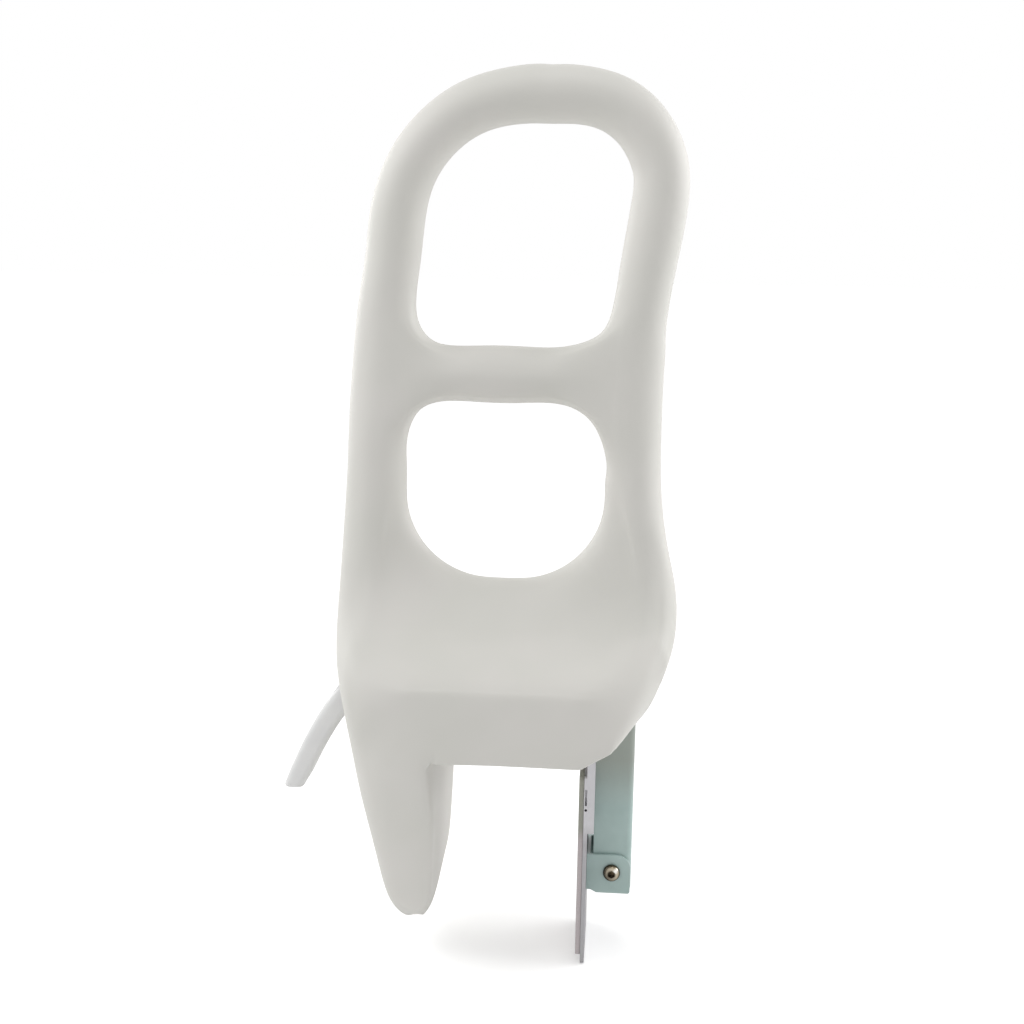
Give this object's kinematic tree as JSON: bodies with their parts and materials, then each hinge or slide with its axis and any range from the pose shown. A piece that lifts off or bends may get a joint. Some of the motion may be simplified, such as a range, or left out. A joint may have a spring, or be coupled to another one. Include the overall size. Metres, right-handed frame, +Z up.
{
  "type": "bath safety rail",
  "caption": "Moulded hand rail with two hand openings that hooks over a bath rim and grips the wall with a screw-driven clamp plate.",
  "frame": {"origin": "on the flat underside that rests on the bath rim, on the middle line of the rail's depth, 24.4 mm from the outer leg's inner face", "axes": "+Z up, +X across the bath wall from the outer leg to the clamp jaw, +Y along the bath wall"},
  "size_m": [0.2393, 0.1222, 0.5318],
  "materials": {
    "moulded_plastic": "fine moulded grain, satin",
    "lever_plastic": "smooth moulded",
    "nylon": "natural nylon",
    "black_acetal": "machined",
    "plated_steel": "bright zinc plated",
    "stainless_steel": "turned",
    "zinc_plate": "zinc plated sheet",
    "green_enamel": "smooth grey-green enamel",
    "pad_rubber": "smooth moulded"
  },
  "bodies": {
    "rail": {"body_shell": "moulded_plastic", "guide_channel": "plated_steel", "guide_screw_1": "stainless_steel", "guide_screw_2": "stainless_steel", "handle_bush": "nylon", "guide_bush": "nylon", "thrust_washer": "stainless_steel"},
    "handle": {"handle_lever": "lever_plastic", "handle_pin": "stainless_steel", "hub_cap": "lever_plastic", "lead_screw": "stainless_steel", "screw_collar": "plated_steel"},
    "jaw": {"nut_block": "black_acetal", "arm_rivet_1": "stainless_steel", "arm_rivet_2": "stainless_steel", "clamp_arm": "green_enamel", "pivot_bolt": "stainless_steel", "pivot_spacer": "plated_steel", "pivot_washer": "stainless_steel", "pivot_nut": "stainless_steel"},
    "plate": {"clamp_plate": "zinc_plate", "plate_bracket": "green_enamel", "plate_pad": "pad_rubber", "pad_stud_1": "nylon", "pad_stud_2": "nylon"}
  },
  "joints": [
    {"name": "handle_spin", "type": "hinge", "parent": "rail", "child": "handle", "pos_m": [-0.0776, 0, 0.03], "axis": [1, 0, 0], "range_deg": [-240, 2760]},
    {"name": "clamp_travel", "type": "slide", "parent": "rail", "child": "jaw", "axis": [-1, 0, 0], "range_m": [-0.004, 0.046]},
    {"name": "plate_tilt", "type": "hinge", "parent": "jaw", "child": "plate", "pos_m": [0.0821, 0, -0.081], "axis": [0, 1, 0], "range_deg": [-15, 2]}
  ],
  "couplings": [
    {"joint": "clamp_travel", "follows": "handle_spin", "m_per_rad": 0.00095493}
  ]
}
